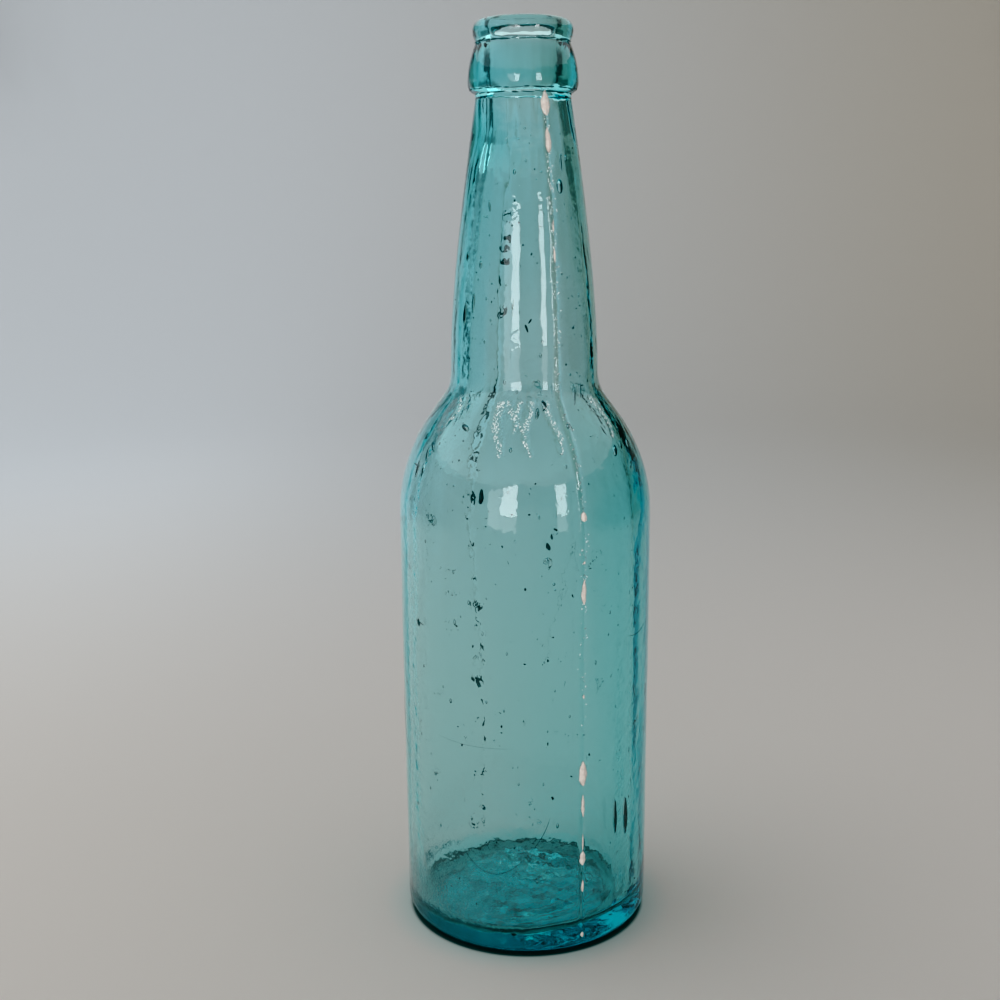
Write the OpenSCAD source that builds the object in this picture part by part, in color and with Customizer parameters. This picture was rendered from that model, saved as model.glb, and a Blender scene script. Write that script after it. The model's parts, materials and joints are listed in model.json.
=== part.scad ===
// Empty long-neck beer bottle of aqua glass, blown in a two-piece mould.
// Millimetres, +Z up. The origin is the centre of the base, on the surface it stands on.
// The mould opened along X, so its two side seams run up the bottle at -Y and +Y.

/* [Body] */
// Height of the whole bottle
bottle_h = 251; // [205:1:305]
// Outer diameter just above the heel
heel_d = 70; // [56:0.1:88]
// Outer diameter at the top of the straight body, a little wider than the heel
body_d = 70.5; // [56:0.1:88]
// Height at which the body starts to turn in to the shoulder
shoulder_z = 118.5; // [60:0.5:145]
// Thickness of the body's wall
body_wall = 3.4; // [2:0.1:5]

/* [Base] */
// Radius of the rounded outer edge under the body
heel_r = 4.5; // [1:0.1:6]
// Width of the flat ring that the bottle stands on
rest_ring_w = 7; // [3:0.5:10]
// How far the middle of the underside is pushed up
push_up = 2; // [1:0.5:8]
// Thickness of glass at the middle of the base
base_t = 4.5; // [3:0.5:12]
// How much the middle of the inner floor stands above its edge
floor_rise = 1.5; // [0.2:0.1:3]
// Radius of the inner corner between floor and wall
floor_corner_r = 4; // [2:0.5:12]

/* [Shoulder] */
// Radius of the outward curve of the shoulder
shoulder_r = 47.5; // [25:0.5:70]
// Steepest lean of the shoulder from upright, in degrees
shoulder_lean = 36; // [20:1:60]
// Radius of the inward curve where shoulder meets neck
shoulder_fillet_r = 12; // [4:0.5:25]

/* [Neck] */
// Outer diameter at the foot of the neck
neck_base_d = 40.4; // [32:0.1:52]
// Outer diameter right under the collar
neck_top_d = 25.2; // [22:0.1:28.8]
// Lean of the neck from upright at its foot, in degrees
neck_lean = 0.5; // [0:0.1:5]
// Lean of the neck from upright under the collar, in degrees
neck_top_lean = 8.2; // [2:0.1:12]
// Thickness of the neck's wall
neck_wall = 3.6; // [2.4:0.1:5]

/* [Crown finish] */
// Height of the finish, from the underside of the collar to the top of the lip
finish_h = 19; // [15:0.1:23]
// Largest diameter of the collar
collar_d = 29.4; // [27:0.1:35]
// Height of the rounded lower edge of the collar
collar_edge_h = 2.8; // [1:0.1:5]
// Height of the lip, from the groove to the top
lip_h = 6; // [4.6:0.1:7.5]
// Outer diameter of the lip, which a standard crown cap grips
lip_d = 26.6; // [24:0.1:30]
// Radius of the lip's rounded top edge, on the outside
lip_round_r = 3; // [1:0.1:4]
// Radius of the rounded edge between the lip's top and the bore
mouth_round_r = 0.8; // [0.3:0.1:1.5]
// Diameter of the groove between lip and collar
groove_d = 25.1; // [22.5:0.1:28]
// Width of the groove's floor
groove_w = 0.8; // [0.4:0.1:2]
// Diameter of the bore through the finish
bore_d = 18.4; // [14:0.1:20]
// Lean of the neck's inside from upright where it meets the bore, in degrees
bore_foot_lean = 4; // [0:0.1:8]

/* [Mould seams] */
// Width of each seam
seam_w = 0.8; // [0.4:0.1:2]
// How far each seam stands out of the glass
seam_h = 0.3; // [0.1:0.05:0.6]

/* [Hidden] */

// Straight stretches in each rounded stretch of the outline, and in each full turn
arc_steps = 14;
turn_steps = 144;

// Radii that the outline is drawn with
heel_out_r = heel_d / 2;
body_out_r = body_d / 2;
neck_base_r = neck_base_d / 2;
neck_top_r = neck_top_d / 2;
collar_r = collar_d / 2;
lip_r = lip_d / 2;
groove_r = groove_d / 2;
bore_r = bore_d / 2;

// The lip's flat top, between its two rounded edges. A thin lip limits the outer one.
mouth_top_r = bore_r + mouth_round_r;
lip_round = min(lip_round_r, lip_r - mouth_top_r);
lip_top_r = lip_r - lip_round;

// Heights in the finish, counted down from the top
collar_z = bottle_h - finish_h;
groove_z = bottle_h - lip_h;
lip_widest_z = bottle_h - lip_round;

// The base: the flat ring, and the floor above it
rest_out_r = heel_out_r - heel_r;
rest_in_r = rest_out_r - rest_ring_w;
floor_z = push_up + base_t;
floor_edge_z = floor_z - floor_rise;
floor_edge_r = heel_out_r - body_wall - floor_corner_r;

// How deep the seams are rooted in the wall
seam_root = 1;
// How far the seams run up into the collar
seam_into_collar = 1;

// Points on an ellipse's arc, from one angle to another
function arc(centre, radii, from, to) = [
    for (i = [0 : arc_steps])
        let (a = from + (to - from) * i / arc_steps)
            [centre[0] + radii[0] * cos(a), centre[1] + radii[1] * sin(a)]
];

// Points on a quadratic curve that leaves a towards b and arrives at c from b
function curve(a, b, c) = [
    for (i = [0 : arc_steps])
        let (t = i / arc_steps)
            a * pow(1 - t, 2) + 2 * b * t * (1 - t) + c * pow(t, 2)
];

// Points on a cubic curve that leaves a towards b and arrives at d from c
function sweep(a, b, c, d) = [
    for (i = [0 : arc_steps])
        let (t = i / arc_steps)
            a * pow(1 - t, 3) + 3 * b * t * pow(1 - t, 2) + 3 * c * pow(t, 2) * (1 - t)
                + d * pow(t, 3)
];

// A shallow dome from the axis out to an edge at radius r. It stands rise above the edge.
function dome(r, edge_z, rise) = [
    for (i = [0 : arc_steps])
        let (t = i / arc_steps)
            [r * t, edge_z + rise * (1 - pow(t, 2))]
];

function backwards(points) = [for (i = [len(points) - 1 : -1 : 0]) points[i]];

// Lean of the shoulder's flank: the named lean, or less where the two curves already fill the
// step in from body to neck
function flank_lean(step, out_r, in_r) =
    let (in_part = in_r * (1 - cos(neck_lean)))
        min(shoulder_lean, acos(1 - (step + in_part) / (out_r + in_r)));

// Shoulder and neck, from the top of the body at radius r_body, over the neck's foot at r_foot,
// to the height of the collar's underside, at r_top and leaning by top_lean. The same rule draws
// the outside and, with the walls taken off the radii, the inside.
function shoulder_and_neck(r_body, r_foot, r_top, out_r, in_r, top_lean) =
    let (
        lean = flank_lean(r_body - r_foot, out_r, in_r),
        curved_step = out_r * (1 - cos(lean)) + in_r * (cos(neck_lean) - cos(lean)),
        flank = max(0, (r_body - r_foot - curved_step) / sin(lean)),
        out_centre = [r_body - out_r, shoulder_z],
        out_end = out_centre + out_r * [cos(lean), sin(lean)],
        in_start = out_end + flank * [-sin(lean), cos(lean)],
        in_centre = in_start + in_r * [cos(lean), sin(lean)],
        foot = in_centre - in_r * [cos(neck_lean), sin(neck_lean)],
        top = [r_top, collar_z],
        third = (collar_z - foot[1]) / 3,
        foot_aim = foot + third * [-tan(neck_lean), 1],
        top_aim = top + third * [tan(top_lean), -1]
    )
    concat(
        arc(out_centre, [out_r, out_r], 0, lean),
        arc(in_centre, [in_r, in_r], 180 + lean, 180 + neck_lean),
        sweep(foot, foot_aim, top_aim, top)
    );

// The side of the bottle from the heel to the underside of the collar
side_outline = concat(
    arc([rest_out_r, heel_r], [heel_r, heel_r], -90, 0),
    shoulder_and_neck(
        body_out_r,
        neck_base_r,
        neck_top_r,
        shoulder_r,
        shoulder_fillet_r,
        neck_top_lean
    )
);

// The outside of the finish: rounded collar, groove and lip
collar_widest_z = collar_z + collar_edge_h;
groove_low_z = groove_z - groove_w / 2;
groove_high_z = groove_z + groove_w / 2;
finish_outline = concat(
    arc([neck_top_r, collar_widest_z], [collar_r - neck_top_r, collar_edge_h], -90, 0),
    curve(
        [collar_r, collar_widest_z],
        [collar_r, (collar_widest_z + groove_low_z) / 2],
        [groove_r, groove_low_z]
    ),
    curve(
        [groove_r, groove_high_z],
        [lip_r, (groove_high_z + lip_widest_z) / 2],
        [lip_r, lip_widest_z]
    ),
    arc([lip_top_r, lip_widest_z], [lip_round, lip_round], 0, 90)
);

// The inside, from the middle of the floor up to the mouth
inside_outline = concat(
    dome(floor_edge_r, floor_edge_z, floor_rise),
    arc([floor_edge_r, floor_edge_z + floor_corner_r], [floor_corner_r, floor_corner_r], -90, 0),
    shoulder_and_neck(
        body_out_r - body_wall,
        neck_base_r - neck_wall,
        bore_r,
        shoulder_r - body_wall,
        shoulder_fillet_r + neck_wall,
        bore_foot_lean
    ),
    arc([mouth_top_r, bottle_h - mouth_round_r], [mouth_round_r, mouth_round_r], 180, 90)
);

// The glass in section, on one side of the axis
module glass_section() {
    polygon(concat(
        dome(rest_in_r, 0, push_up),
        side_outline,
        finish_outline,
        backwards(inside_outline)
    ));
}

// A ring that follows the side, from inside the wall out to the crest of a seam. It starts where
// the heel is upright and ends inside the collar.
module seam_ring() {
    upright = [for (p = side_outline) if (p[1] >= heel_r / 2) p];
    in_collar = [[neck_top_r, collar_z + seam_into_collar]];
    crest = [for (p = concat(upright, in_collar)) p + [seam_h, 0]];
    root = [for (p = concat(upright, in_collar)) p - [seam_root, 0]];
    rotate_extrude($fn = turn_steps)
        polygon(concat(crest, backwards(root)));
}

// The two side seams that the halves of the mould left
module mould_seams() {
    reach = body_d + heel_d;
    intersection() {
        seam_ring();
        translate([-seam_w / 2, -reach / 2, 0])
            cube([seam_w, reach, bottle_h]);
    }
}

module bottle() {
    color([0.45, 0.72, 0.74, 0.6]) {
        rotate_extrude($fn = turn_steps)
            glass_section();
        mould_seams();
    }
}

bottle();
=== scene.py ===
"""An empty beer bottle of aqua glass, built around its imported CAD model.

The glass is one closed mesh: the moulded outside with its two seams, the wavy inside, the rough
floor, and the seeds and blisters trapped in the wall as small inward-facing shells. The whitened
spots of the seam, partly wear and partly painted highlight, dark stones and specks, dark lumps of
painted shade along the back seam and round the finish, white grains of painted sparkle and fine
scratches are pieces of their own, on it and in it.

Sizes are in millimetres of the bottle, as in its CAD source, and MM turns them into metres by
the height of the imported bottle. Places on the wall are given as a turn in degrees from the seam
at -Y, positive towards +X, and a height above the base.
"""
import json
import math
import random

import bpy
import numpy as np
from mathutils import Matrix, Vector, noise

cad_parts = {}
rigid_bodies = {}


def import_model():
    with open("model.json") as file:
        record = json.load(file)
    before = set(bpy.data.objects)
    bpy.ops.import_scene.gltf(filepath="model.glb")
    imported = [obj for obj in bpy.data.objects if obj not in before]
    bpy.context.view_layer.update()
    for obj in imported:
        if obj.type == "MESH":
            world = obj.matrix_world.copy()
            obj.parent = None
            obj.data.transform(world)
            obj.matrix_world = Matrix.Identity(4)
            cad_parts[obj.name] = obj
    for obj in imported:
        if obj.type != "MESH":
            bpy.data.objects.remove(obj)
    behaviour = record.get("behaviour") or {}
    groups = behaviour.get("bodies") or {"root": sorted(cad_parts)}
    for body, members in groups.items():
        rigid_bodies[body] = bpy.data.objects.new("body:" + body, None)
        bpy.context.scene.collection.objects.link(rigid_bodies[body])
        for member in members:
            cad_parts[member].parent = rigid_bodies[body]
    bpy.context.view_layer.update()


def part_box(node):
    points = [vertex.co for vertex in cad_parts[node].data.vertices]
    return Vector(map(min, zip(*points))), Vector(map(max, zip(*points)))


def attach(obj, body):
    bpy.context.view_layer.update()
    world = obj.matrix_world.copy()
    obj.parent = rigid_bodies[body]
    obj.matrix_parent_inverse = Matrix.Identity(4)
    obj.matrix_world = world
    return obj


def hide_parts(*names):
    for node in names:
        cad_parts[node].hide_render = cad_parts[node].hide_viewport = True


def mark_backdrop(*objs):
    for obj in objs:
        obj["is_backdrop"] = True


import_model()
LOW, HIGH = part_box("bottle")

# ---------------------------------------------------------------- sizes, in mm of the bottle

BOTTLE_H = 251.0
MM = (HIGH.z - LOW.z) / BOTTLE_H
BODY_R = (HIGH.x - LOW.x) / 2 / MM
HEEL_OUT_R = 35.0
HEEL_R = 4.5
REST_RING_W = 7.0
PUSH_UP = 2.0
BASE_T = 4.5
FLOOR_RISE = 1.5
FLOOR_CORNER_R = 4.0
BODY_WALL = 3.4
SHOULDER_Z = 118.5
SHOULDER_R = 47.5
SHOULDER_LEAN = math.radians(36)
SHOULDER_FILLET_R = 12.0
NECK_BASE_R = 20.2
NECK_TOP_R = 12.6
NECK_LEAN = math.radians(0.5)
NECK_TOP_LEAN = math.radians(8.2)
BORE_FOOT_LEAN = math.radians(4)
NECK_WALL = 3.6
FINISH_H = 19.0
COLLAR_R = 14.7
COLLAR_EDGE_H = 2.8
LIP_H = 6.0
LIP_R = 13.3
LIP_ROUND_R = 3.0
MOUTH_ROUND_R = 0.8
GROOVE_R = 12.55
GROOVE_W = 0.8
BORE_R = 9.2
SEAM_W = 0.8
SEAM_H = 0.3

REST_OUT_R = HEEL_OUT_R - HEEL_R
REST_IN_R = REST_OUT_R - REST_RING_W
FLOOR_EDGE_Z = PUSH_UP + BASE_T - FLOOR_RISE
FLOOR_EDGE_R = HEEL_OUT_R - BODY_WALL - FLOOR_CORNER_R
COLLAR_Z = BOTTLE_H - FINISH_H
COLLAR_WIDEST_Z = COLLAR_Z + COLLAR_EDGE_H
GROOVE_LOW_Z = BOTTLE_H - LIP_H - GROOVE_W / 2
GROOVE_HIGH_Z = BOTTLE_H - LIP_H + GROOVE_W / 2
LIP_WIDEST_Z = BOTTLE_H - LIP_ROUND_R
LIP_TOP_R = LIP_R - LIP_ROUND_R
MOUTH_TOP_R = BORE_R + MOUTH_ROUND_R


# ---------------------------------------------------------------- the outline

def point(r, z):
    return np.array([r, z], float)


def line(a, b, steps):
    return [a + (b - a) * i / steps for i in range(steps + 1)]


def arc(centre, radii, start, end, steps):
    """Points on an ellipse's arc from one angle to another, in degrees."""
    angles = np.radians(np.linspace(start, end, steps + 1))
    return [centre + point(radii[0] * math.cos(a), radii[1] * math.sin(a)) for a in angles]


def curve(a, b, c, steps):
    """A quadratic curve that leaves a towards b and arrives at c from b."""
    ts = np.linspace(0, 1, steps + 1)
    return [a * (1 - t) ** 2 + 2 * b * t * (1 - t) + c * t ** 2 for t in ts]


def sweep(a, b, c, d, steps):
    """A cubic curve that leaves a towards b and arrives at d from c."""
    ts = np.linspace(0, 1, steps + 1)
    return [
        a * (1 - t) ** 3 + 3 * b * t * (1 - t) ** 2 + 3 * c * t ** 2 * (1 - t) + d * t ** 3
        for t in ts
    ]


def dome(r, edge_z, rise, steps):
    """A shallow dome from the axis out to an edge at radius r, which it stands above."""
    return [point(r * t, edge_z + rise * (1 - t ** 2)) for t in np.linspace(0, 1, steps + 1)]


def shoulder_and_neck(r_body, r_foot, r_top, out_r, in_r, top_lean):
    """From the top of the body to the height of the collar's underside."""
    step = r_body - r_foot
    lean = SHOULDER_LEAN
    curved = out_r * (1 - math.cos(lean)) + in_r * (math.cos(NECK_LEAN) - math.cos(lean))
    flank = (step - curved) / math.sin(lean)
    out_centre = point(r_body - out_r, SHOULDER_Z)
    out_end = out_centre + out_r * point(math.cos(lean), math.sin(lean))
    in_start = out_end + flank * point(-math.sin(lean), math.cos(lean))
    in_centre = in_start + in_r * point(math.cos(lean), math.sin(lean))
    foot = in_centre - in_r * point(math.cos(NECK_LEAN), math.sin(NECK_LEAN))
    top = point(r_top, COLLAR_Z)
    third = (COLLAR_Z - foot[1]) / 3
    foot_aim = foot + third * point(-math.tan(NECK_LEAN), 1)
    top_aim = top + third * point(math.tan(top_lean), -1)
    lean_deg = math.degrees(lean)
    return (
        arc(out_centre, (out_r, out_r), 0, lean_deg, 17)
        + line(out_end, in_start, 3)
        + arc(in_centre, (in_r, in_r), 180 + lean_deg, 180 + math.degrees(NECK_LEAN), 9)
        + sweep(foot, foot_aim, top_aim, top, 38)
    )


BODY_STEPS = 46


def outside():
    """From the middle of the underside, up the side and round the lip to the mouth."""
    return (
        dome(REST_IN_R, 0, PUSH_UP, 18)
        + line(point(REST_IN_R, 0), point(REST_OUT_R, 0), 4)
        + arc(point(REST_OUT_R, HEEL_R), (HEEL_R, HEEL_R), -90, 0, 8)
        + line(point(HEEL_OUT_R, HEEL_R), point(BODY_R, SHOULDER_Z), BODY_STEPS)
        + shoulder_and_neck(
            BODY_R, NECK_BASE_R, NECK_TOP_R, SHOULDER_R, SHOULDER_FILLET_R, NECK_TOP_LEAN
        )
        + arc(point(NECK_TOP_R, COLLAR_WIDEST_Z), (COLLAR_R - NECK_TOP_R, COLLAR_EDGE_H), -90, 0, 8)
        + curve(
            point(COLLAR_R, COLLAR_WIDEST_Z),
            point(COLLAR_R, (COLLAR_WIDEST_Z + GROOVE_LOW_Z) / 2),
            point(GROOVE_R, GROOVE_LOW_Z),
            12,
        )
        + curve(
            point(GROOVE_R, GROOVE_HIGH_Z),
            point(LIP_R, (GROOVE_HIGH_Z + LIP_WIDEST_Z) / 2),
            point(LIP_R, LIP_WIDEST_Z),
            5,
        )
        + arc(point(LIP_TOP_R, LIP_WIDEST_Z), (LIP_ROUND_R, LIP_ROUND_R), 0, 90, 9)
    )


def inside():
    """From the middle of the floor up to the mouth."""
    return (
        dome(FLOOR_EDGE_R, FLOOR_EDGE_Z, FLOOR_RISE, 40)
        + arc(
            point(FLOOR_EDGE_R, FLOOR_EDGE_Z + FLOOR_CORNER_R),
            (FLOOR_CORNER_R, FLOOR_CORNER_R), -90, 0, 9,
        )
        + line(
            point(HEEL_OUT_R - BODY_WALL, FLOOR_EDGE_Z + FLOOR_CORNER_R),
            point(BODY_R - BODY_WALL, SHOULDER_Z),
            BODY_STEPS,
        )
        + shoulder_and_neck(
            BODY_R - BODY_WALL,
            NECK_BASE_R - NECK_WALL,
            BORE_R,
            SHOULDER_R - BODY_WALL,
            SHOULDER_FILLET_R + NECK_WALL,
            BORE_FOOT_LEAN,
        )
        + line(point(BORE_R, COLLAR_Z), point(BORE_R, BOTTLE_H - MOUTH_ROUND_R), 9)
        + arc(
            point(MOUTH_TOP_R, BOTTLE_H - MOUTH_ROUND_R),
            (MOUTH_ROUND_R, MOUTH_ROUND_R), 180, 90, 5,
        )
    )


def distinct(points):
    """The same points without any that repeats the one before it."""
    kept = [points[0]]
    for p in points[1:]:
        if np.linalg.norm(p - kept[-1]) > 1e-4:
            kept.append(p)
    return np.array(kept)


OUTSIDE = distinct(outside())
INSIDE = distinct(inside())
OUT_SIDE = OUTSIDE[(OUTSIDE[:, 0] > NECK_TOP_R - 0.1) & (OUTSIDE[:, 1] >= HEEL_R)]
IN_SIDE = INSIDE[INSIDE[:, 1] >= FLOOR_EDGE_Z + FLOOR_CORNER_R]


def out_radius(z):
    return float(np.interp(z, OUT_SIDE[:, 1], OUT_SIDE[:, 0]))


def in_radius(z):
    return float(np.interp(z, IN_SIDE[:, 1], IN_SIDE[:, 0]))


# ---------------------------------------------------------------- unevenness of the glass

def smooth(x, low, high):
    """0 below low, 1 above high, and a smooth step between."""
    t = min(max((x - low) / (high - low), 0.0), 1.0)
    return t * t * (3 - 2 * t)


def waves(x, y, z, across, along, seed):
    """Smooth noise, about -1 to 1, whose waves measure across and along, in mm."""
    return noise.noise(Vector((x / across + seed, y / across - seed, z / along + seed)))


def hump(x, middle, width):
    """A bell curve that is 1 at middle."""
    return math.exp(-((x - middle) / width) ** 2)


def turned(turn, towards):
    """1 where a turn faces a direction, and -1 on the opposite side."""
    return math.cos(math.radians(turn - towards))


# The metal ran thick on one side of the body, and on the other side of the neck
THICK_SIDE = 60.0
FRONT_SEAM = 0.0
BACK_SEAM = 180.0


def bead(z, spacing, seed):
    """Beads along a seam: mostly 0, and 1 in the middle of each bead."""
    return smooth(noise.noise(Vector((seed, 0.0, z / spacing))), 0.1, 0.35)


def seam_height(turn, z, r):
    """How far the seams stand out at this turn and height."""
    height = 0.0
    for seam in (FRONT_SEAM, BACK_SEAM):
        away = math.radians((turn - seam + 180) % 360 - 180) * r
        if abs(away) > 4:
            continue
        drift = 0.4 * noise.noise(Vector((seam, 3.0, z / 26)))
        heavy = smooth(z, 118, 140) * (1 - smooth(z, 158, 170))
        neck = smooth(z, 150, 165)
        crest = SEAM_H * (0.7 + 0.6 * heavy) * hump(away, drift, SEAM_W * (0.5 + 0.35 * heavy))
        groove = (0.10 + 0.16 * heavy) * hump(away, drift - 1.3, 0.6)
        stand = 0.22 + 0.14 * neck
        beads = stand * bead(z, 4.5, 5.0 + seam) * hump(away, drift, 0.8 + 0.3 * neck)
        height += crest - groove + beads
    return height


def out_wave(x, y, z):
    """Displacement of the outside: slow waves of the mould and of the chilled metal."""
    return 0.10 * waves(x, y, z, 16, 34, 1.3) + 0.05 * waves(x, y, z, 6, 12, 7.1)


def wall_shift(turn, z):
    """How much thicker than drawn the wall is, in mm, where the metal gathered on one side."""
    up = smooth(z, 122, 160)
    body = 0.45 + 1.25 * turned(turn, THICK_SIDE)
    neck = -0.40 - 0.60 * turned(turn, THICK_SIDE)
    return (body * (1 - up) + neck * up) * (1 - smooth(z, COLLAR_Z - 12, COLLAR_Z + 2))


def in_wave(turn, x, y, z, r):
    """Displacement of the inside: long upright folds where the glass ran down."""
    spread = max(r, 5) / 32
    folds = 0.34 * waves(x, y, z, 13 * spread, 90, 4.2) + 0.16 * waves(x, y, z, 5 * spread, 60, 9.7)
    fine = 0.22 * waves(x, y, z, 1.9, 16, 2.6) * smooth(z, 200, 216)
    choke = 1.3 * hump(z, 221, 7) * (0.55 - 0.45 * turned(turn, THICK_SIDE))
    return folds * (0.2 + 0.8 * min(spread, 1)) + fine + choke


def floor_relief(turn, x, y, r):
    """The tilted, rough floor of the bottle, stippled on its thin side."""
    rough = smooth(-turned(turn, THICK_SIDE) * r / 26 + 0.5 * waves(x, y, 0, 9, 1, 5.0), -0.6, 0.6)
    stipple = 0.22 * waves(x, y, 0, 1.3, 1, 2.0) + 0.34 * waves(x, y, 0, 3.0, 1, 6.0)
    swell = 0.5 * waves(x, y, 0, 10, 1, 8.0)
    rings = 0.12 * math.sin(r * 2.1 + 2.5 * waves(x, y, 0, 12, 1, 4.0)) * smooth(r, 12, 18)
    tilt = 1.7 * turned(turn, THICK_SIDE) * r / 28
    return (0.25 + 0.75 * rough) * stipple + swell + rings + tilt


# ---------------------------------------------------------------- the glass

def seam_turns():
    """The columns of the mesh, in degrees from the seam at -Y, closer together at both seams."""
    near = [0.0, 0.35, 0.7, 1.1, 1.6, 2.3]
    far = list(np.linspace(3.4, 90, 50))
    quarter = near + far
    first_half = quarter + [180 - t for t in reversed(quarter[:-1])]
    second_half = [360 - t for t in reversed(first_half[1:-1])]
    return np.array(first_half + second_half)


TURNS = seam_turns()


def ring(outline_point, normal, lift):
    """One ring of vertices round the axis, pushed along the outline's normal by lift()."""
    r, z = outline_point
    verts = []
    for turn in TURNS:
        a = math.radians(turn - 90)
        x, y = r * math.cos(a), r * math.sin(a)
        d = lift(turn, x, y, z, r)
        rr, zz = r + normal[0] * d, z + normal[1] * d
        verts.append((rr * math.cos(a) * MM, rr * math.sin(a) * MM, zz * MM))
    return verts


def outline_normals(points):
    """Unit normals of an open outline, to the right of its direction of travel."""
    tangent = np.gradient(points, axis=0)
    tangent /= np.linalg.norm(tangent, axis=1)[:, None]
    return np.stack([tangent[:, 1], -tangent[:, 0]], axis=1)


def out_lift(turn, x, y, z, r):
    """How far the outside stands out from its outline, in mm."""
    on_side = smooth(z, 1.0, 6.0)
    seam_end = 1 - smooth(z, COLLAR_Z - 1.5, COLLAR_Z + 0.5)
    finish = smooth(z, COLLAR_Z - 2, COLLAR_Z + 2)
    wave = out_wave(x, y, z) * on_side * (1 - 0.3 * finish)
    seam = seam_height(turn, z, r) * on_side * seam_end if r > 5 else 0.0
    under = (1 - on_side) * smooth(REST_IN_R - r, 0.0, 6.0) * 0.35 * waves(x, y, 0, 4, 1, 3.0)
    edges = 0.30 * hump(z, COLLAR_Z + 0.8, 1.6) + 0.16 * hump(z, GROOVE_LOW_Z, 1.2)
    wobble = edges * (waves(x, y, 0, 3.2, 1, 12.0) + 0.8 * waves(x, y, 0, 8, 1, 15.0))
    return wave + seam + under + wobble


def in_lift(turn, x, y, z, r):
    """How far the inside stands in from its outline, in mm."""
    floor = 1 - smooth(z, FLOOR_EDGE_Z + 0.5, FLOOR_EDGE_Z + 8.0)
    mouth = 1 - smooth(z, COLLAR_Z - 3, COLLAR_Z + 6)
    side = (in_wave(turn, x, y, z, r) * (0.3 + 0.7 * mouth) + wall_shift(turn, z)) * (1 - floor)
    return side + floor * floor_relief(turn, x, y, r)


def lathe():
    """Vertices and faces of the closed glass without its bubbles."""
    out_normals = outline_normals(OUTSIDE)
    in_normals = -outline_normals(INSIDE)
    count = len(TURNS)
    under_middle = OUTSIDE[0][1] - out_lift(0, 0, 0, OUTSIDE[0][1], 0)
    floor_middle = INSIDE[0][1] + in_lift(0, 0, 0, INSIDE[0][1], 0)
    verts = [(0.0, 0.0, under_middle * MM)]
    for p, n in zip(OUTSIDE[1:], out_normals[1:]):
        verts += ring(p, n, out_lift)
    for p, n in zip(INSIDE[:0:-1], in_normals[:0:-1]):
        verts += ring(p, n, in_lift)
    verts.append((0.0, 0.0, floor_middle * MM))
    rings = len(OUTSIDE) + len(INSIDE) - 2
    faces = []
    for j in range(count):
        k = (j + 1) % count
        faces.append((0, 1 + k, 1 + j))
        for i in range(rings - 1):
            a, b = 1 + i * count, 1 + (i + 1) * count
            faces.append((a + j, a + k, b + k, b + j))
        last = 1 + (rings - 1) * count
        faces.append((last + j, last + k, len(verts) - 1))
    return verts, faces


def on_wall(turn, z, depth):
    """A point in the wall, in mm. Depth 0 is the outside and 1 the inside."""
    r = out_radius(z) * (1 - depth) + in_radius(z) * depth
    a = math.radians(turn - 90)
    return Vector((r * math.cos(a), r * math.sin(a), z))


def wall_axes(turn, z):
    """Unit vectors across, along and out of the wall at this place."""
    a = math.radians(turn - 90)
    out = Vector((math.cos(a), math.sin(a), 0))
    slope = (out_radius(z + 1) - out_radius(z - 1)) / 2
    along = (out * slope + Vector((0, 0, 1))).normalized()
    across = Vector((-math.sin(a), math.cos(a), 0))
    return across, along, across.cross(along)


def bubble(centre, axes, half, segments, rings):
    """An ellipsoid whose faces look inwards, so that the glass ends at it."""
    verts = []
    for i in range(1, rings):
        v = math.pi * i / rings
        for j in range(segments):
            u = 2 * math.pi * j / segments
            local = (
                axes[0] * (half[0] * math.sin(v) * math.cos(u))
                + axes[2] * (half[2] * math.sin(v) * math.sin(u))
                + axes[1] * (half[1] * math.cos(v))
            )
            verts.append((centre + local) * MM)
    top = len(verts)
    verts.append((centre + axes[1] * half[1]) * MM)
    verts.append((centre - axes[1] * half[1]) * MM)
    faces = []
    for j in range(segments):
        k = (j + 1) % segments
        faces.append((top, j, k))
        for i in range(rings - 2):
            a, b = i * segments, (i + 1) * segments
            faces.append((a + j, b + j, b + k, a + k))
        a = (rings - 2) * segments
        faces.append((a + j, top + 1, a + k))
    return verts, faces


# Blisters that stand out, each a turn, a height, a length, a width, and its lean in degrees
BLISTERS = [
    (19.6, 37, 10.5, 1.3, 2), (27.3, 35.6, 11.5, 1.9, 3), (-82, 175, 6.5, 1.1, -3),
    (-84, 189.9, 2.4, 1.0, 0), (12.7, 207.9, 3.8, 1.9, 0), (16.9, 213.8, 4.6, 0.7, 0),
    (-72, 178, 5.2, 1.0, -3), (-66, 188, 2.0, 0.9, 0), (-63.4, 145.6, 3.0, 1.6, 60),
    (-82, 139.7, 3.6, 1.0, 45), (-84.7, 137.6, 4.4, 1.0, 20), (-90, 133.4, 4.6, 1.4, 5),
    (43.9, 139.4, 2.8, 1.5, -30), (27.8, 138.8, 3.4, 1.7, -30), (-11.9, 151.5, 3.2, 1.3, 5),
    (-17.6, 149.6, 3.4, 1.2, -12), (14.3, 153.2, 5.5, 0.8, -20), (21.8, 154.5, 4.4, 0.6, -20),
    (2.0, 145.8, 2.4, 1.0, 12), (60, 190, 5.0, 0.8, 4), (100, 60, 6.0, 1.2, 0),
    (140, 95, 4.0, 1.5, 10), (-130, 50, 7.0, 1.1, 0), (-150, 112, 3.6, 1.4, -8),
    (170, 175, 5.0, 0.9, 3), (120, 30, 3.5, 1.2, 0), (-60, 203, 3.0, 0.7, 10),
    (75, 215, 3.4, 0.8, 0),
]
SEED_COUNT = 420
SEED_SIZE = (0.12, 0.3)


def leaning_axes(turn, z, lean):
    """The wall's axes, turned by a lean in degrees about the way out."""
    axes = wall_axes(turn, z)
    about_out = Matrix.Rotation(math.radians(lean), 3, axes[2])
    return about_out @ axes[0], about_out @ axes[1], axes[2]


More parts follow.
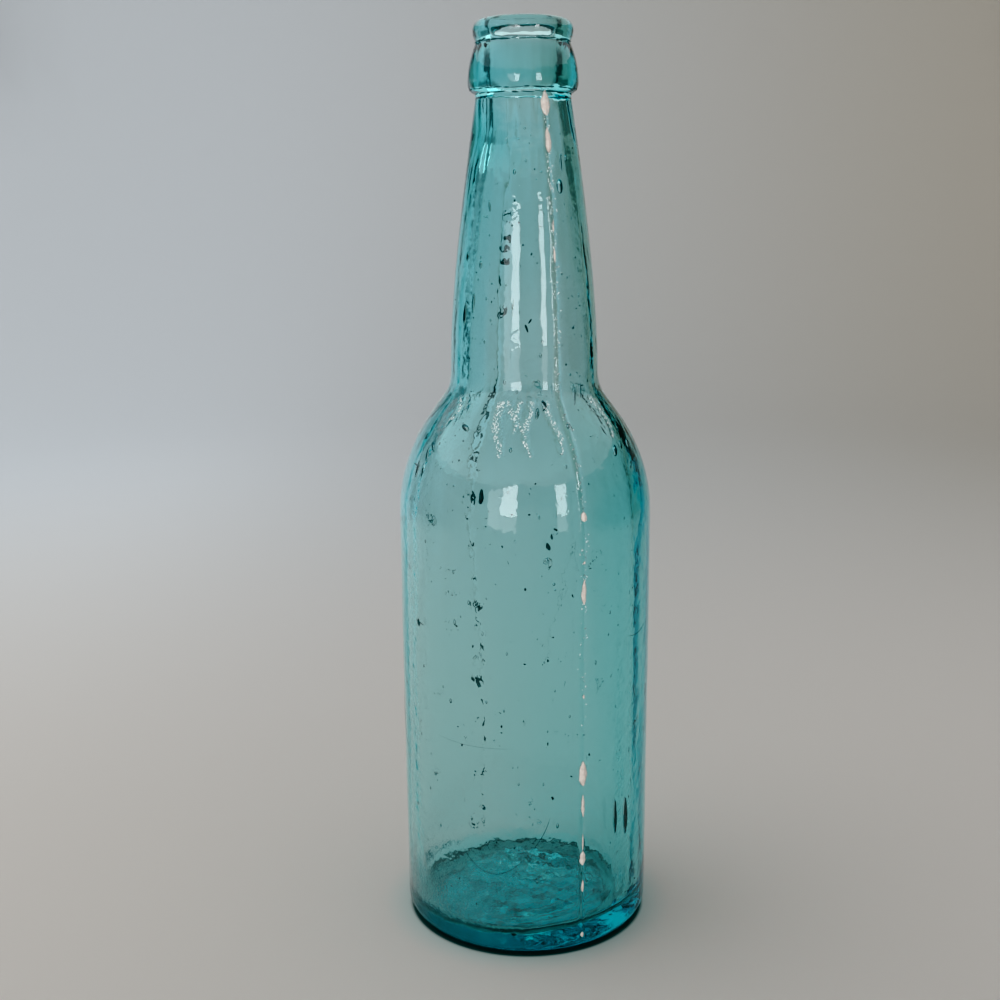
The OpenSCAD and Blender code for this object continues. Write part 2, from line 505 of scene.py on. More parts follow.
def bubbles():
    """Every blister and seed: (centre, axes, half sizes, segments, rings)."""
    rng = random.Random(583)
    for turn, z, length, width, lean in BLISTERS:
        half = (width / 2, length / 2, min(width * 0.4, 0.7))
        yield on_wall(turn, z, 0.38), leaning_axes(turn, z, lean), half, 10, 10
    for _ in range(SEED_COUNT):
        z = rng.uniform(8, BOTTLE_H - 22)
        if rng.random() > out_radius(z) / BODY_R + 0.25:
            continue
        turn = rng.uniform(0, 360)
        size = rng.uniform(*SEED_SIZE) * (1.6 if rng.random() < 0.12 else 1.0)
        stretch = rng.uniform(1.0, 2.2)
        half = (size, size * stretch, size * 0.8)
        yield on_wall(turn, z, rng.uniform(0.25, 0.75)), wall_axes(turn, z), half, 6, 5


def new_mesh(name, verts, faces, material):
    mesh = bpy.data.meshes.new(name)
    mesh.from_pydata([tuple(v) for v in verts], [], faces)
    mesh.polygons.foreach_set("use_smooth", [True] * len(mesh.polygons))
    mesh.materials.append(material)
    mesh.update()
    obj = bpy.data.objects.new(name, mesh)
    bpy.context.scene.collection.objects.link(obj)
    return obj


def joined(parts):
    """Vertices and faces of several shapes as one."""
    verts, faces = [], []
    for more_verts, more_faces in parts:
        start = len(verts)
        verts += more_verts
        faces += [tuple(start + v for v in face) for face in more_faces]
    return verts, faces


# Ragged streaks of coarse mould skin under the neck, each a turn, a width in degrees and the
# height of its foot
STREAKS = [
    (-41, 6.5, 139.5), (-33.5, 4.5, 145.0), (-28.5, 4.0, 144.0), (-23.5, 4.5, 139.5),
    (-8.5, 5.0, 140.0), (30, 5.0, 142.0), (62, 6.0, 140.5), (101, 5.0, 143.0), (148, 6.0, 140.0),
    (-158, 5.0, 142.0), (-118, 6.0, 140.5), (-76, 4.0, 146.0),
]
STREAK_TOP = 153.0


def stipple(turn, z):
    """How coarse the outer skin is here, 0 to 1: in the streaks, and round the heel's thin side."""
    most = 0.0
    for middle, width, foot in STREAKS:
        along = (STREAK_TOP - z) / (STREAK_TOP - foot)
        if not 0 < along < 1:
            continue
        sway = 2.5 * math.sin(along * 5 + middle)
        away = ((turn - middle - sway + 180) % 360 - 180) / (width * (1.05 - along) ** 0.5 / 2)
        most = max(most, 1 - smooth(abs(away), 0.6, 1.3))
    heel = (1 - smooth(z, 8, 24)) * smooth(-turned(turn, THICK_SIDE), -0.1, 0.7)
    return max(most, 0.55 * heel)


def bottle_glass(material):
    """The glass as one mesh, with how coarse its skin is stored at each point."""
    verts, faces = joined([lathe()] + [bubble(*args) for args in bubbles()])
    obj = new_mesh("bottle_glass", verts, faces, material)
    coarse = obj.data.attributes.new("coarse", "FLOAT", "POINT")
    values = []
    for v in obj.data.vertices:
        x, y, z = v.co / MM
        turn = math.degrees(math.atan2(y, x)) + 90
        values.append(stipple(turn, z))
    coarse.data.foreach_set("value", values)
    return obj


# Whitened places on the front seam, partly wear and partly painted highlight, each a height,
# a length and a width
WORN_HIGHLIGHTS = [
    (229.0, 6.4, 2.5), (219.6, 6.4, 1.7), (124.2, 2.6, 1.7), (104.0, 6.9, 1.4), (75.0, 1.2, 0.5),
    (53.0, 7.2, 2.3), (43.6, 6.6, 1.0), (28.2, 4.2, 1.8), (33.0, 5.0, 0.5), (19.9, 3.6, 0.8),
    (5.2, 1.6, 1.0), (198.0, 3.0, 0.5), (190.5, 4.0, 0.5), (112.0, 0.8, 0.6),
]
WORN_HIGHLIGHT_STEPS = 18
WORN_HIGHLIGHT_ACROSS = 6
# How far a whitened place stands proud at its edge, how much more in its middle, and where its
# hidden inner skin lies
WORN_HIGHLIGHT_EDGE = 0.03
WORN_HIGHLIGHT_CROWN = 0.12
WORN_HIGHLIGHT_ROOT = -0.25


def surface_point(x, z, proud):
    """A point proud of the outside, x mm across from the front seam."""
    r = out_radius(z)
    turn = math.degrees(x / r)
    a = math.radians(turn - 90)
    at = (r * math.cos(a), r * math.sin(a))
    lifted = r + out_lift(turn % 360, at[0], at[1], z, r) + proud
    return Vector((lifted * math.cos(a), lifted * math.sin(a), z)) * MM


def worn_highlight_place(middle, length, width):
    """A low leaf-shaped scab of wear and painted highlight on the seam: a closed skin, thickest in
    the middle.
    """
    verts, faces = [], []
    row = WORN_HIGHLIGHT_ACROSS + 1
    for outer in (True, False):
        for i in range(WORN_HIGHLIGHT_STEPS + 1):
            t = i / WORN_HIGHLIGHT_STEPS
            z = middle + (t - 0.5) * length
            leaf = math.sin(math.pi * t ** 0.8) ** 0.7 if 0 < t < 1 else 0.0
            ragged = 1 + 0.22 * noise.noise(Vector((middle, 0.0, z * 1.3)))
            shift = 0.12 * width * noise.noise(Vector((middle + 9, 0.0, z * 0.5)))
            for j in range(row):
                v = 2 * j / WORN_HIGHLIGHT_ACROSS - 1
                x = shift + v * leaf * ragged * width / 2
                proud = WORN_HIGHLIGHT_EDGE + WORN_HIGHLIGHT_CROWN * (1 - v * v) if outer else WORN_HIGHLIGHT_ROOT
                verts.append(surface_point(x, z, proud))
    count = (WORN_HIGHLIGHT_STEPS + 1) * row
    for i in range(WORN_HIGHLIGHT_STEPS):
        for j in range(WORN_HIGHLIGHT_ACROSS):
            a = i * row + j
            faces.append((a, a + 1, a + row + 1, a + row))
            faces.append((count + a, count + a + row, count + a + row + 1, count + a + 1))
        for j, flip in ((0, False), (WORN_HIGHLIGHT_ACROSS, True)):
            a = i * row + j
            wall = (a, a + row, count + a + row, count + a)
            faces.append(wall[::-1] if flip else wall)
    return verts, faces


# Whitened spots on the front seam: partly wear, partly painted highlight
def seam_wear_and_highlight(material):
    verts, faces = joined(worn_highlight_place(*args) for args in WORN_HIGHLIGHTS)
    return new_mesh("seam_wear_and_highlight", verts, faces, material)


def lump(centre, axes, half, seed):
    """A closed, uneven ellipsoid with faces outwards."""
    verts, faces = bubble(centre, axes, half, 8, 6)
    uneven = []
    for v in verts:
        away = v - centre * MM
        push = 1 + 0.45 * noise.noise(away / (MM * max(half)) * 1.4 + Vector((seed, 0, 0)))
        uneven.append(centre * MM + away * push)
    return uneven, [face[::-1] for face in faces]


# Dark inclusions: a turn, a height, a length, a width, a lean, and the depth in the wall
DARK_MARKS = [
    (19.6, 37, 9.8, 1.15, 2, 0.2), (27.3, 35.6, 11.2, 1.75, 3, 0.2),
    (-82, 175, 5.6, 1.0, -3, 0.25), (-90, 133.4, 3.0, 0.8, 5, 0.3),
    (-93, 134.4, 2.4, 0.4, 80, 0.3), (-85.2, 137.4, 3.2, 0.35, 20, 0.3),
    (-63.4, 145.4, 1.6, 0.7, 60, 0.3), (43.9, 139.4, 1.4, 0.9, -30, 0.3),
    (27.8, 138.8, 1.7, 0.9, -30, 0.3), (14.3, 153.2, 4.6, 0.4, -20, 0.3),
    (21.8, 154.5, 3.4, 0.3, -20, 0.3), (16.9, 213.8, 3.6, 0.3, 0, 0.3),
    (-82.0, 92.0, 1.9, 1.5, 0, 0.05), (-81.0, 92.2, 3.4, 0.4, 80, 0.05),
    (-45.8, 129.2, 4.2, 1.3, 0, 0.3), (-12.0, 152.0, 2.6, 0.5, 30, 0.2),
    (-11.4, 151.2, 2.4, 0.4, -40, 0.2), (-17.6, 149.6, 2.6, 0.35, -12, 0.3),
    (-16.2, 117.0, 2.0, 1.1, 20, 0.1), (-14.6, 119.6, 1.4, 0.7, 0, 0.1),
    (-12.8, 121.4, 1.2, 0.6, 60, 0.1), (-26.0, 105.6, 0.7, 0.6, 0, 0.3),
    (-5.0, 103.2, 1.1, 0.4, 20, 0.3), (-56, 60.6, 0.8, 0.6, 0, 0.3),
    (-36.8, 67.4, 0.8, 0.5, 0, 0.3), (-14, 46.8, 1.2, 0.6, 30, 0.3),
    (-16.2, 62.5, 1.0, 0.4, 0, 0.3), (3.7, 57.8, 0.8, 0.5, 0, 0.3),
    (-23.9, 171.7, 2.4, 0.6, 20, 0.6), (-21.0, 173.6, 1.6, 0.5, -30, 0.6),
    (-37.4, 7.6, 1.3, 0.9, 80, 0.2), (-31.9, 6.7, 1.4, 0.9, 80, 0.2),
    (-83.5, 189.9, 1.4, 0.7, 0, 0.3), (-103, 243.0, 1.6, 2.2, 0, 0.1),
    (51, 243.0, 1.4, 2.0, 0, 0.1), (-107, 246.6, 1.2, 1.8, 0, 0.1),
]
SPECK_COUNT = 170
SPECK_SIZE = (0.12, 0.27)


def seam_beads():
    """Dark beads along the back seam, painted shade of its refracting bumps, each a mark as in
    DARK_MARKS.
    """
    rng = random.Random(77)
    z = 10.0
    while z < 205:
        neck = smooth(z, 140, 165)
        length = rng.uniform(1.0, 3.2) * (1 + 0.6 * neck)
        for _ in range(rng.choice((1, 2, 3))):
            turn = BACK_SEAM + rng.uniform(-1.1, 1.1) * (1 + 2.4 * neck)
            width = rng.uniform(0.4, 1.3)
            bead_z = z + rng.uniform(-1, 1)
            bead_length = length * rng.uniform(0.5, 1)
            yield turn, bead_z, bead_length, width, rng.uniform(-20, 20), 0.1
        z += length + rng.expovariate(1 / 4.0) + 1.0


def corner_painted_shade():
    """Short dark dashes of painted shade all round, under and on the collar's edge and in the
    groove.
    """
    rng = random.Random(19)
    for z, most in ((COLLAR_Z - 0.15, 0.7), (COLLAR_Z + 0.9, 0.5), (GROOVE_LOW_Z + 0.4, 0.55)):
        turn = 0.0
        while turn < 360:
            length = rng.uniform(1.2, 4.5)
            step = math.degrees(length / NECK_TOP_R)
            width = rng.uniform(0.2, most)
            wobble = 0.35 * noise.noise(Vector((math.radians(turn) * 3, z, 0.0)))
            yield turn + step / 2, z + wobble, length * 1.15, width, 90 + rng.uniform(-6, 6), 0.0
            turn += step * rng.uniform(0.8, 1.4)


def mark_lumps(marks):
    """Marks given by turn, height, length, width, lean and depth, as lumps."""
    for i, (turn, z, length, width, lean, depth) in enumerate(marks):
        half = (width / 2, length / 2, min(width / 2, 0.4))
        yield on_wall(turn, z, depth), leaning_axes(turn, z, lean), half, i * 3.1


def dark_marks():
    """Every dark mark and speck as a lump: its centre, axes, half sizes and seed."""
    rng = random.Random(41)
    yield from mark_lumps(DARK_MARKS)
    for i in range(SPECK_COUNT):
        z = rng.uniform(6, BOTTLE_H - 30)
        turn = rng.uniform(0, 360)
        size = rng.uniform(*SPECK_SIZE)
        half = (size, size * rng.uniform(0.8, 1.8), size * 0.7)
        centre = on_wall(turn, z, rng.uniform(0.1, 0.9))
        yield centre, leaning_axes(turn, z, rng.uniform(-90, 90)), half, i


def dark_flecks(material):
    verts, faces = joined(lump(*args) for args in dark_marks())
    return new_mesh("dark_flecks", verts, faces, material)


def painted_shade_marks(material):
    """Dark lumps of painted shade along the back seam and round the finish."""
    marks = list(seam_beads()) + list(corner_painted_shade())
    verts, faces = joined(lump(*args) for args in mark_lumps(marks))
    return new_mesh("painted_shade_marks", verts, faces, material)


# White grains of painted sparkle: grains tried all round the streaks' height, of which those in
# a streak are kept, and grains along the front seam
SPARKLE_TRIES = 15000
SEAM_SPARKLE_COUNT = 420
SPARKLE_SIZE = (0.08, 0.2)


def painted_sparkle(material):
    """White grains of painted sparkle on the coarse streaks under the neck and along the front
    seam.
    """
    rng = random.Random(7)
    grains = []
    places = [(rng.uniform(-180, 180), rng.uniform(136, STREAK_TOP)) for _ in range(SPARKLE_TRIES)]
    places = [(turn, z) for turn, z in places if stipple(turn, z) > rng.uniform(0.35, 1.0)]
    for _ in range(SEAM_SPARKLE_COUNT):
        z = 60 + (COLLAR_Z - 60) * math.sqrt(rng.random())
        places.append((FRONT_SEAM + rng.gauss(0, 0.9) * (1 + smooth(z, 140, 165)), z))
    for i, (turn, z) in enumerate(places):
        size = rng.uniform(*SPARKLE_SIZE)
        half = (size, size * rng.uniform(0.8, 2.0), size * 0.6)
        axes = leaning_axes(turn, z, rng.uniform(-60, 60))
        grains.append((on_wall(turn, z, -0.02), axes, half, i))
    verts, faces = joined(lump(*args) for args in grains)
    return new_mesh("painted_sparkle", verts, faces, material)


# Hairline scratches, each three (turn, height) points of a curve and a radius
SCRATCHES = [
    ((-56, 31), (-41, 18), (-24.5, 31.4), 0.11), ((-24.5, 31.4), (-18, 35.5), (-15.4, 41.4), 0.10),
    ((26.2, 88.7), (35, 87), (43.7, 89.5), 0.10), ((-70, 62), (-52, 60.5), (-30, 61.5), 0.03),
    ((110, 120), (130, 96), (142, 60), 0.06), ((-160, 140), (-140, 118), (-150, 92), 0.06),
    ((60, 56), (78, 44), (96, 58), 0.06), ((-120, 80), (-112, 60), (-100, 52), 0.05),
]
SCRATCH_STEPS = 40
SCRATCH_SIDES = 5


def scratch(a, b, c, radius):
    """A thin closed tube that follows the outside along a curve of turns and heights."""
    verts, faces = [], []
    places = curve(point(*a), point(*b), point(*c), SCRATCH_STEPS)
    for i, (turn, z) in enumerate(places):
        across, along, out = wall_axes(turn, z)
        ahead = places[min(i + 1, SCRATCH_STEPS)] - places[max(i - 1, 0)]
        way = across * math.radians(ahead[0]) * out_radius(z) + along * ahead[1]
        side = out.cross(way).normalized()
        fade = radius * math.sqrt(math.sin(math.pi * min(max(i / SCRATCH_STEPS, 0.02), 0.98)))
        x, y = out_radius(z) * out.x, out_radius(z) * out.y
        centre = on_wall(turn, z, 0) + out * out_lift(turn % 360, x, y, z, out_radius(z))
        for j in range(SCRATCH_SIDES):
            u = 2 * math.pi * j / SCRATCH_SIDES
            verts.append((centre + side * fade * math.cos(u) + out * fade * math.sin(u)) * MM)
    for i in range(SCRATCH_STEPS):
        for j in range(SCRATCH_SIDES):
            k = (j + 1) % SCRATCH_SIDES
            row, next_row = i * SCRATCH_SIDES, (i + 1) * SCRATCH_SIDES
            faces.append((row + j, row + k, next_row + k, next_row + j))
    faces.append(tuple(range(SCRATCH_SIDES))[::-1])
    faces.append(tuple(len(verts) - SCRATCH_SIDES + j for j in range(SCRATCH_SIDES)))
    return verts, faces


def scratches(material):
    verts, faces = joined(scratch(*args) for args in SCRATCHES)
    return new_mesh("scratches", verts, faces, material)


# ---------------------------------------------------------------- materials

def node_material(name):
    material = bpy.data.materials.new(name)
    material.use_nodes = True
    tree = material.node_tree
    return material, tree, tree.nodes["Principled BSDF"]


def noise_node(tree, source, scale, detail):
    """A noise texture over the object's own metres, with a scale in waves per metre."""
    node = tree.nodes.new("ShaderNodeTexNoise")
    node.inputs["Scale"].default_value = scale
    node.inputs["Detail"].default_value = detail
    tree.links.new(source, node.inputs["Vector"])
    return node.outputs["Fac"]


def math_node(tree, operation, a, b):
    node = tree.nodes.new("ShaderNodeMath")
    node.operation = operation
    for socket, value in zip(node.inputs, (a, b)):
        if isinstance(value, (int, float)):
            socket.default_value = value
        else:
            tree.links.new(value, socket)
    return node.outputs["Value"]


def add_bump(tree, shader, height, distance):
    """Bump of the given depth in metres."""
    node = tree.nodes.new("ShaderNodeBump")
    node.inputs["Strength"].default_value = 1.0
    node.inputs["Distance"].default_value = distance
    tree.links.new(height, node.inputs["Height"])
    tree.links.new(node.outputs["Normal"], shader.inputs["Normal"])


def color_ramp(tree, value, stops):
    node = tree.nodes.new("ShaderNodeValToRGB")
    node.color_ramp.elements[0].position, node.color_ramp.elements[0].color = stops[0]
    node.color_ramp.elements[1].position, node.color_ramp.elements[1].color = stops[-1]
    for position, color in stops[1:-1]:
        node.color_ramp.elements.new(position).color = color
    tree.links.new(value, node.inputs["Fac"])
    return node.outputs["Color"]


def glass_material():
    """Aqua glass. The volume gives the tint, and fine bumps give the skin of moulded glass."""
    material, tree, shader = node_material("aqua_glass")
    shader.inputs["Base Color"].default_value = (1, 1, 1, 1)
    shader.inputs["Transmission Weight"].default_value = 1
    shader.inputs["IOR"].default_value = 1.52
    shader.inputs["Roughness"].default_value = 0.0
    place = tree.nodes.new("ShaderNodeTexCoord").outputs["Object"]
    skin = noise_node(tree, place, 260, 2.0)
    grit = noise_node(tree, place, 1500, 1.0)
    coarse = tree.nodes.new("ShaderNodeAttribute")
    coarse.attribute_name = "coarse"
    coarse_part = math_node(tree, "MULTIPLY", coarse.outputs["Fac"], 0.4)
    rough_grit = math_node(tree, "MULTIPLY", grit, coarse_part)
    height = math_node(tree, "ADD", math_node(tree, "MULTIPLY", skin, 0.15), rough_grit)
    add_bump(tree, shader, height, 0.0007)
    volume = tree.nodes.new("ShaderNodeVolumeAbsorption")
    volume.inputs["Color"].default_value = (0.02, 0.86, 0.895, 1)
    volume.inputs["Density"].default_value = 110
    output = tree.nodes["Material Output"]
    tree.links.new(volume.outputs["Volume"], output.inputs["Volume"])
    return material


def mottled_material(name, stops, scale, detail, roughness, bump=0.0):
    """An opaque surface whose colour, and bump in metres, follow one noise."""
    material, tree, shader = node_material(name)
    place = tree.nodes.new("ShaderNodeTexCoord").outputs["Object"]
    mottle = noise_node(tree, place, scale, detail)
    tree.links.new(color_ramp(tree, mottle, stops), shader.inputs["Base Color"])
    shader.inputs["Roughness"].default_value = roughness
    if bump:
        add_bump(tree, shader, mottle, bump)
    return material


def wear_and_highlight_material():
    """Chalky, pinkish white on the seam: partly wear, partly painted highlight."""
    dull, pink, white = (0.62, 0.55, 0.50, 1), (0.80, 0.71, 0.65, 1), (0.86, 0.80, 0.75, 1)
    stops = [(0.3, dull), (0.55, pink), (0.75, white)]
    return mottled_material("chalky_wear_and_highlight", stops, 900, 3.0, roughness=0.55, bump=0.00012)


def fleck_material():
    """Almost black teal, for stones and specks caught in the glass."""
    stops = [(0.35, (0.004, 0.018, 0.020, 1)), (0.65, (0.012, 0.075, 0.080, 1))]
    return mottled_material("dark_inclusion", stops, 1200, 2.0, roughness=0.35, bump=0.00008)


def painted_shade_material():
    """Dark teal of the painted shade, paler than the stones."""
    stops = [(0.35, (0.006, 0.035, 0.038, 1)), (0.65, (0.018, 0.10, 0.105, 1))]
    return mottled_material("teal_painted_shade", stops, 900, 2.0, roughness=0.45)


def painted_sparkle_material():
    """Painted sparkle: the white glitter of a coarse, crystalline skin, given as colour."""
    stops = [(0.35, (0.55, 0.72, 0.72, 1)), (0.6, (0.90, 0.96, 0.95, 1))]
    return mottled_material("painted_white_sparkle", stops, 1500, 1.0, roughness=0.25)


def scratch_material():
    """The dull grey-teal of a fine scratch."""
    stops = [(0.35, (0.006, 0.028, 0.032, 1)), (0.7, (0.02, 0.065, 0.07, 1))]
    return mottled_material("scratch_line", stops, 500, 2.0, roughness=0.6)


def stage_material():
    """Matt paper whose tone, painted with light and shade, is stored at each point."""
    material, tree, shader = node_material("pale_paper")
    tone = tree.nodes.new("ShaderNodeAttribute")
    tone.attribute_name = "tone"
    tree.links.new(tone.outputs["Color"], shader.inputs["Base Color"])
    shader.inputs["Roughness"].default_value = 0.9
    shader.inputs["Specular IOR Level"].default_value = 0.1
    return material


# ---------------------------------------------------------------- floor, light and camera

# In metres. The camera stands at this turn of the bottle.
CAMERA_TURN = math.radians(-26)
STAGE_FLAT_R = 0.9
STAGE_CURVE_R = 0.5
STAGE_WALL_TOP = 0.68
# How far the floor lies below the resting ring, so that a film of air stays between them
STAGE_GAP = 0.00005
# Painted light on the paper: its cool tone on the camera's left, its warm tone on the right, and
# its tone near the camera
PAPER_COOL_LIGHT = Vector((0.73, 0.78, 0.825))
PAPER_WARM_LIGHT = Vector((0.53, 0.495, 0.43))
PAPER_NEAR_LIGHT = Vector((0.72, 0.69, 0.655))
# Painted light and shade that the glass lets down: teal under the bottle, a darker teal shade under
# the resting ring, and a teal tint beside it
PAINTED_TEAL_UNDER_BOTTLE = Vector((0.0, 0.56, 0.62))
PAINTED_SHADE_UNDER_RING = Vector((0.45, 0.66, 0.62))
PAINTED_TINT_BESIDE_BOTTLE = Vector((0.84, 0.97, 0.98))
# Radii on the paper: the edge of the painted pool of teal light, the painted heel shade and the
# bottle's outline
POOL_R = 0.0243
HEEL_SHADE_R = 0.0300
OUTLINE_R = 0.0338


def backdrop_tone(to_right, beyond, z):
    """The paper away from the bottle, painted with light and shade: cool painted light on the
    camera's left, warm painted light on its right.

    Far out at both sides it is darkened with painted shade. The painted shade starts further round
    high up, behind the finish, and is narrower there.
    """
    wall = PAPER_COOL_LIGHT.lerp(PAPER_WARM_LIGHT, smooth(to_right, -0.45, 0.75))
    tone = PAPER_NEAR_LIGHT.lerp(wall, smooth(beyond, -0.05, 0.7))
    off_axis = math.degrees(math.atan2(abs(to_right), beyond))
    start = 46 + 16 * smooth(z, 0.12, 0.34)
    high = smooth(z, 0.28, 0.36)
    flank = smooth(off_axis, start, start + 8)
    flank *= 1 - smooth(off_axis, 105 - 36 * high, 135 - 56 * high)
    # Painted shade on both flanks and high up off the axis, and painted light on the camera's left
    tone = tone * (1 - 0.88 * flank * smooth(math.hypot(to_right, beyond), 0.45, 0.95))
    tone = tone * (1 - 0.62 * smooth(off_axis, 21, 38) * high)
    return tone * (1 + 0.22 * smooth(-to_right, 0.0, 0.3) * hump(beyond, 0.5, 0.6))


def painted_pool_tone(x, y):
    """The paper under the bottle: painted teal light in uneven patches, with painted shade at its
    edge and at the heel.
    """
    away = math.hypot(x, y)
    swirl = noise.noise(Vector((x * 200, y * 300, 0.0)))
    ripple = noise.noise(Vector((x, y, 0.0)) * 640)
    pool = PAINTED_TEAL_UNDER_BOTTLE * max(1.05 + 1.5 * swirl + 0.5 * ripple, 0.15)
    pool = pool * (1 - 0.92 * hump(away, POOL_R, 0.0016))
    under = pool.lerp(PAINTED_SHADE_UNDER_RING, smooth(away, POOL_R, POOL_R + 0.0019))
    return under * (1 - 0.88 * smooth(away, HEEL_SHADE_R, HEEL_SHADE_R + 0.0012))


def paper_tone(x, y, z):
    """The paper's colour at a place, painted with light and shade, and close to the bottle with a
    painted tint of the light through the glass.
    """
    turn = CAMERA_TURN
    to_right = x * math.cos(turn) + y * math.sin(turn)
    beyond = y * math.cos(turn) - x * math.sin(turn)
    away = math.hypot(x, y)
    tone = backdrop_tone(to_right, beyond, z)
    # Painted teal tint of the light through the glass, close beside the bottle
    tinted = Vector(a * b for a, b in zip(tone, PAINTED_TINT_BESIDE_BOTTLE))
    tone = tinted.lerp(tone, smooth(away, 0.034, 0.044))
    return painted_pool_tone(x, y).lerp(tone, smooth(away, OUTLINE_R, OUTLINE_R + 0.0012))


# The stage's mesh: its fine rings under the bottle, then its wide ones, and its columns
FINE_RINGS = 99
FINE_RING_STEP = 0.0005
WIDE_RINGS = 12
STAGE_COLUMNS = 180


def stage():
    """A pale floor that curves up into a low round wall, so that no edge shows behind."""
    rows = [(FINE_RING_STEP * i, 0.0) for i in range(1, FINE_RINGS + 1)]
    rows += [(STAGE_FLAT_R * i / WIDE_RINGS, 0.0) for i in range(1, WIDE_RINGS + 1)]
    for i in range(1, WIDE_RINGS + 1):
        a = math.radians(90 * i / WIDE_RINGS)
        rows.append((STAGE_FLAT_R + STAGE_CURVE_R * math.sin(a), STAGE_CURVE_R * (1 - math.cos(a))))
    rows.append((STAGE_FLAT_R + STAGE_CURVE_R, STAGE_WALL_TOP))
    verts = [(0.0, 0.0, 0.0)]
    for r, z in rows:
        for j in range(STAGE_COLUMNS):
            a = 2 * math.pi * j / STAGE_COLUMNS
            verts.append((r * math.cos(a), r * math.sin(a), z - STAGE_GAP))
    faces = []
    for j in range(STAGE_COLUMNS):
        k = (j + 1) % STAGE_COLUMNS
        faces.append((0, 1 + j, 1 + k))
        for i in range(len(rows) - 1):
            a, b = 1 + i * STAGE_COLUMNS, 1 + (i + 1) * STAGE_COLUMNS
            faces.append((a + j, b + j, b + k, a + k))
    obj = new_mesh("stage_floor", verts, faces, stage_material())
    # The paper's painted light and shade, stored at each point
    tone = obj.data.attributes.new("tone", "FLOAT_COLOR", "POINT")
    for v, value in zip(obj.data.vertices, tone.data):
        value.color = (*paper_tone(*v.co), 1)
    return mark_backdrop(obj)


# The camera: its distance from the axis and its height in metres, its angles, and its lens in mm
CAMERA_AWAY = 0.3816
CAMERA_H = 0.2059
CAMERA_PITCH = math.radians(-12.42)
CAMERA_YAW = math.radians(1.05)
CAMERA_ROLL = math.radians(-0.47)
CAMERA_LENS = 49.85

# How the view deepens the darkest tones, as pairs of a scene brightness and what it is shown as
TOE = ((0.02, 0.004), (0.05, 0.02), (0.10, 0.072), (0.17, 0.162), (0.3, 0.3))
# The same for red alone, applied after it: a snapshot of aqua glass has almost no red in its darks
RED_TOE = ((0.016, 0.002), (0.03, 0.012), (0.056, 0.044), (0.093, 0.087), (0.14, 0.14), (0.2, 0.2))


def deepen_shadows(view):
    """Give the picture the deep shadows of a snapshot, with the mid tones left as they are."""
    view.use_curve_mapping = True
    for curve_number, stops in ((3, TOE), (0, RED_TOE)):
        shape = view.curve_mapping.curves[curve_number]
        for brightness, shown in stops:
            shape.points.new(brightness, shown)
        for p in shape.points:
            p.handle_type = "VECTOR"
    view.curve_mapping.update()


def camera():
    data = bpy.data.cameras.new("camera")
    data.lens = CAMERA_LENS
    data.clip_start = 0.01
    obj = bpy.data.objects.new("camera", data)
    bpy.context.scene.collection.objects.link(obj)
    obj.location = (
        CAMERA_AWAY * math.sin(CAMERA_TURN), -CAMERA_AWAY * math.cos(CAMERA_TURN), CAMERA_H
    )
    level = Matrix.Rotation(CAMERA_TURN + CAMERA_YAW, 4, "Z")
    tilt = Matrix.Rotation(math.radians(90) + CAMERA_PITCH, 4, "X")
    roll = Matrix.Rotation(CAMERA_ROLL, 4, "Z")
    obj.matrix_world = Matrix.Translation(obj.location) @ level @ tilt @ roll
    bpy.context.scene.camera = obj


# In metres: the point that the lamps face, and how far from it the windows are
LAMP_AIM = Vector((0, 0, 0.14))
WINDOW_AWAY = 0.62
WINDOW_COLOR = (0.93, 0.98, 1.0)


def area_light(name, turn, rise, away, size, power, color):
    """A rectangular lamp that faces the bottle's shoulder from a turn and a rise in degrees."""
    data = bpy.data.lights.new(name, "AREA")
    data.shape = "RECTANGLE"
    data.size, data.size_y = size
    data.energy = power
    data.color = color
    obj = bpy.data.objects.new(name, data)
    bpy.context.scene.collection.objects.link(obj)
    a, e = math.radians(turn - 90), math.radians(rise)
    way = Vector((math.cos(a) * math.cos(e), math.sin(a) * math.cos(e), math.sin(e)))
    obj.location = LAMP_AIM + way * away
    obj.rotation_euler = way.to_track_quat("Z", "Y").to_euler()
    obj.visible_camera = False
    return obj


def window(name, turn, low, high, width, radiance, lit):
    """A window on the camera's side, between two heights, that lights only one collection."""
    height = high - low
    rise = math.degrees(math.atan2((low + high) / 2 - LAMP_AIM.z, WINDOW_AWAY))
    power = radiance * math.pi * width * height
    lamp = area_light(name, turn, rise, WINDOW_AWAY, (width, height), power, WINDOW_COLOR)
    lamp.visible_transmission = False
    lamp.light_linking.receiver_collection = lit


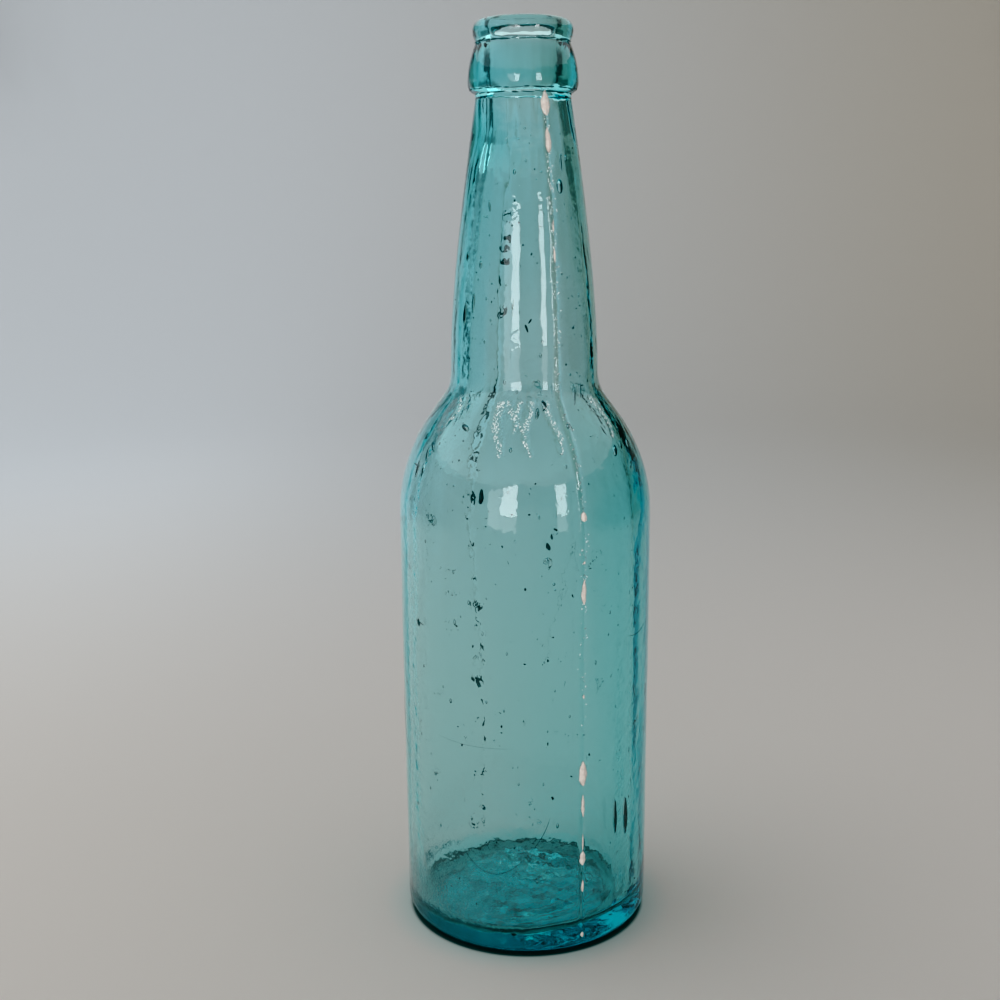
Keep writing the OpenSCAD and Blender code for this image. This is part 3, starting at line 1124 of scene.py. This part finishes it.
def bottle_pieces():
    """A collection of the bottle's own pieces."""
    group = bpy.data.collections.new("bottle_pieces")
    for obj in bpy.context.scene.objects:
        if obj.type == "MESH" and not obj.name.startswith("stage"):
            group.objects.link(obj)
    return group


def world():
    """A plain room: bright walls all round, and a duller ceiling."""
    w = bpy.data.worlds.new("world")
    bpy.context.scene.world = w
    w.use_nodes = True
    tree = w.node_tree
    background = tree.nodes["Background"]
    background.inputs["Strength"].default_value = 0.82
    way = tree.nodes.new("ShaderNodeTexCoord").outputs["Generated"]
    height = tree.nodes.new("ShaderNodeSeparateXYZ")
    tree.links.new(way, height.inputs["Vector"])
    stops = [(0.5, (1.0, 0.985, 0.965, 1)), (0.9, (0.42, 0.415, 0.41, 1))]
    tree.links.new(color_ramp(tree, height.outputs["Z"], stops), background.inputs["Color"])


def lights():
    """A large soft lamp from the left, and the windows that glint in the glass."""
    camera_turn = math.degrees(CAMERA_TURN)
    key = area_light("key_left", camera_turn - 95, 50, 1.4, (1.6, 1.6), 5.5, (0.94, 0.98, 1.0))
    key.visible_glossy = False
    lit = bottle_pieces()
    window("window_left", camera_turn - 12.5, 0.155, 0.355, 0.14, 8.5, lit)
    window("window_left_foot", camera_turn - 12.5, 0.05, 0.15, 0.14, 2.2, lit)
    window("window_left_side", camera_turn - 25.5, 0.06, 0.34, 0.13, 2.4, lit)
    window("window_right", camera_turn + 32.5, 0.155, 0.355, 0.1, 8.0, lit)
    window("window_right_foot", camera_turn + 32.5, 0.05, 0.15, 0.1, 2.0, lit)


# ---------------------------------------------------------------- the scene

glass = bottle_glass(glass_material())
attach(glass, "root")
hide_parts("bottle")

for piece in (
    seam_wear_and_highlight(wear_and_highlight_material()),
    dark_flecks(fleck_material()),
    painted_shade_marks(painted_shade_material()),
    painted_sparkle(painted_sparkle_material()),
    scratches(scratch_material()),
):
    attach(piece, "root")

stage()
world()
lights()
camera()

scene = bpy.context.scene
scene.view_settings.view_transform = "Standard"
scene.cycles.max_bounces = 24
scene.cycles.transmission_bounces = 24
scene.cycles.glossy_bounces = 12
scene.cycles.use_denoising = True
deepen_shadows(scene.view_settings)
